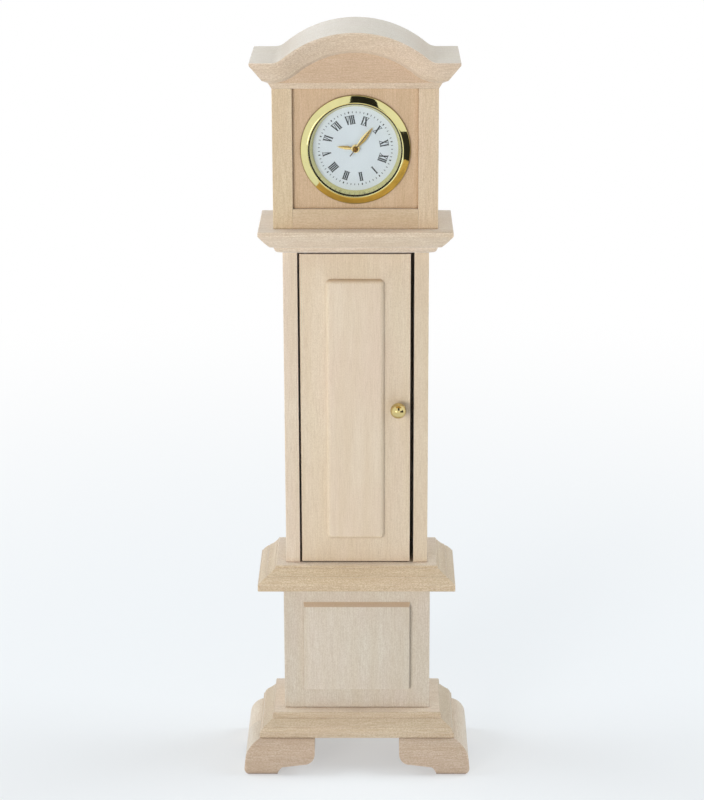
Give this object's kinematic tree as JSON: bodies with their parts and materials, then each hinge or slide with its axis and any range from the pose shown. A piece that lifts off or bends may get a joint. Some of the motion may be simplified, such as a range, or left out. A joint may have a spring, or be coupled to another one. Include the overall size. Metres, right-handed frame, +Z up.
{
  "type": "longcase clock",
  "caption": "Small bare-wood longcase clock: arched hood with a fitted round clock, hinged trunk door, panelled plinth and ogee bracket feet.",
  "frame": {"origin": "on the ground under the middle of the whole case", "axes": "+Z up, -Y out of the dial and door, +X to the viewer's right when facing the dial"},
  "size_m": [0.0586, 0.0288, 0.1936],
  "materials": {
    "wood": "bare pale close-grained wood, sanded",
    "brass": "polished",
    "gilt": "polished pale gilt",
    "pin_steel": "bright",
    "glass": "clear, polished",
    "dial": "matte cool white print ground",
    "second_hand": "dark",
    "black_rubber": "matte",
    "case_metal": "plated",
    "plate_brass": "satin",
    "wheel_brass": "bright",
    "copper_coil": "enamelled wire",
    "iron": "matte plated",
    "circuit": "green lacquered",
    "cell_steel": "bright",
    "magnet": "dull"
  },
  "bodies": {
    "case": {"crown_block": "wood", "hood_side_left": "wood", "hood_side_right": "wood", "hood_bottom_rail": "wood", "dial_board": "wood", "hood_back": "wood", "hood_moulding": "wood", "trunk_side_left": "wood", "trunk_side_right": "wood", "trunk_back": "wood", "waist_moulding": "wood", "plinth_front": "wood", "plinth_side_left": "wood", "plinth_side_right": "wood", "plinth_back": "wood", "plinth_panel": "wood", "base_moulding": "wood", "front_foot_left": "wood", "front_foot_right": "wood", "side_foot_front_left": "wood", "side_foot_front_right": "wood", "side_foot_rear_left": "wood", "side_foot_rear_right": "wood", "hinge_pins": "pin_steel"},
    "door": {"door": "wood", "door_knob": "brass"},
    "clock_insert": {"insert_bezel": "gilt", "insert_crystal": "glass", "insert_dial": "dial", "insert_case": "case_metal", "insert_ring": "black_rubber", "movement_plate": "plate_brass", "movement_bridge": "plate_brass", "coil": "copper_coil", "stator": "iron", "circuit_board": "circuit", "quartz_can": "case_metal", "battery": "cell_steel", "battery_clip": "iron", "case_back": "case_metal"},
    "rotor": {"rotor": "magnet"},
    "fifth_wheel": {"fifth_wheel": "wheel_brass"},
    "seconds": {"seconds_wheel": "wheel_brass", "second_hand": "second_hand"},
    "third_wheel": {"third_wheel": "wheel_brass"},
    "minutes": {"centre_wheel": "wheel_brass", "minute_hand": "gilt"},
    "minute_wheel": {"minute_wheel": "wheel_brass"},
    "hours": {"hour_wheel": "wheel_brass", "hour_hand": "gilt"},
    "setting_detent": {"setting_detent": "iron"},
    "setting_stem": {"setting_stem": "case_metal", "setting_crown": "case_metal"}
  },
  "joints": [
    {"name": "door_hinge", "type": "hinge", "parent": "case", "child": "door", "pos_m": [-0.0126, -0.00232, 0.0968], "axis": [0, 0, -1], "range_deg": [0, 105]},
    {"name": "insert_pull", "type": "slide", "parent": "case", "child": "clock_insert", "axis": [0, -1, 0], "range_m": [0, 0.01]},
    {"name": "second_hand_turn", "type": "hinge", "parent": "clock_insert", "child": "seconds", "pos_m": [0, -0.00398, 0.1641], "axis": [0, 1, 0], "continuous": true},
    {"name": "third_wheel_turn", "type": "hinge", "parent": "clock_insert", "child": "third_wheel", "pos_m": [-0.00004, -0.00217, 0.16716], "axis": [0, 1, 0], "continuous": true},
    {"name": "minute_hand_turn", "type": "hinge", "parent": "clock_insert", "child": "minutes", "pos_m": [0, -0.00398, 0.1641], "axis": [0, 1, 0], "continuous": true},
    {"name": "minute_wheel_turn", "type": "hinge", "parent": "clock_insert", "child": "minute_wheel", "pos_m": [-0.00182, -0.00328, 0.16187], "axis": [0, 1, 0], "continuous": true},
    {"name": "hour_hand_turn", "type": "hinge", "parent": "clock_insert", "child": "hours", "pos_m": [0, -0.00398, 0.1641], "axis": [0, 1, 0], "continuous": true},
    {"name": "fifth_wheel_turn", "type": "hinge", "parent": "clock_insert", "child": "fifth_wheel", "pos_m": [0.00294, -0.00147, 0.16307], "axis": [0, 1, 0], "continuous": true},
    {"name": "rotor_turn", "type": "hinge", "parent": "clock_insert", "child": "rotor", "pos_m": [0.00398, -0.00198, 0.16092], "axis": [0, 1, 0], "continuous": true},
    {"name": "crown_pull", "type": "slide", "parent": "clock_insert", "child": "setting_detent", "axis": [-0.3305, 0, -0.9438], "range_m": [0, 0.0008]},
    {"name": "crown_turn", "type": "hinge", "parent": "setting_detent", "child": "setting_stem", "pos_m": [-0.00264, -0.00193, 0.15655], "axis": [-0.3305, 0, -0.9438], "continuous": true}
  ],
  "couplings": [
    {"joint": "third_wheel_turn", "follows": "second_hand_turn", "ratio": -0.13333},
    {"joint": "minute_hand_turn", "follows": "second_hand_turn", "ratio": 0.016667},
    {"joint": "minute_wheel_turn", "follows": "second_hand_turn", "ratio": -0.0055556},
    {"joint": "hour_hand_turn", "follows": "second_hand_turn", "ratio": 0.0013889},
    {"joint": "fifth_wheel_turn", "follows": "second_hand_turn", "ratio": -5},
    {"joint": "rotor_turn", "follows": "second_hand_turn", "ratio": 30}
  ]
}
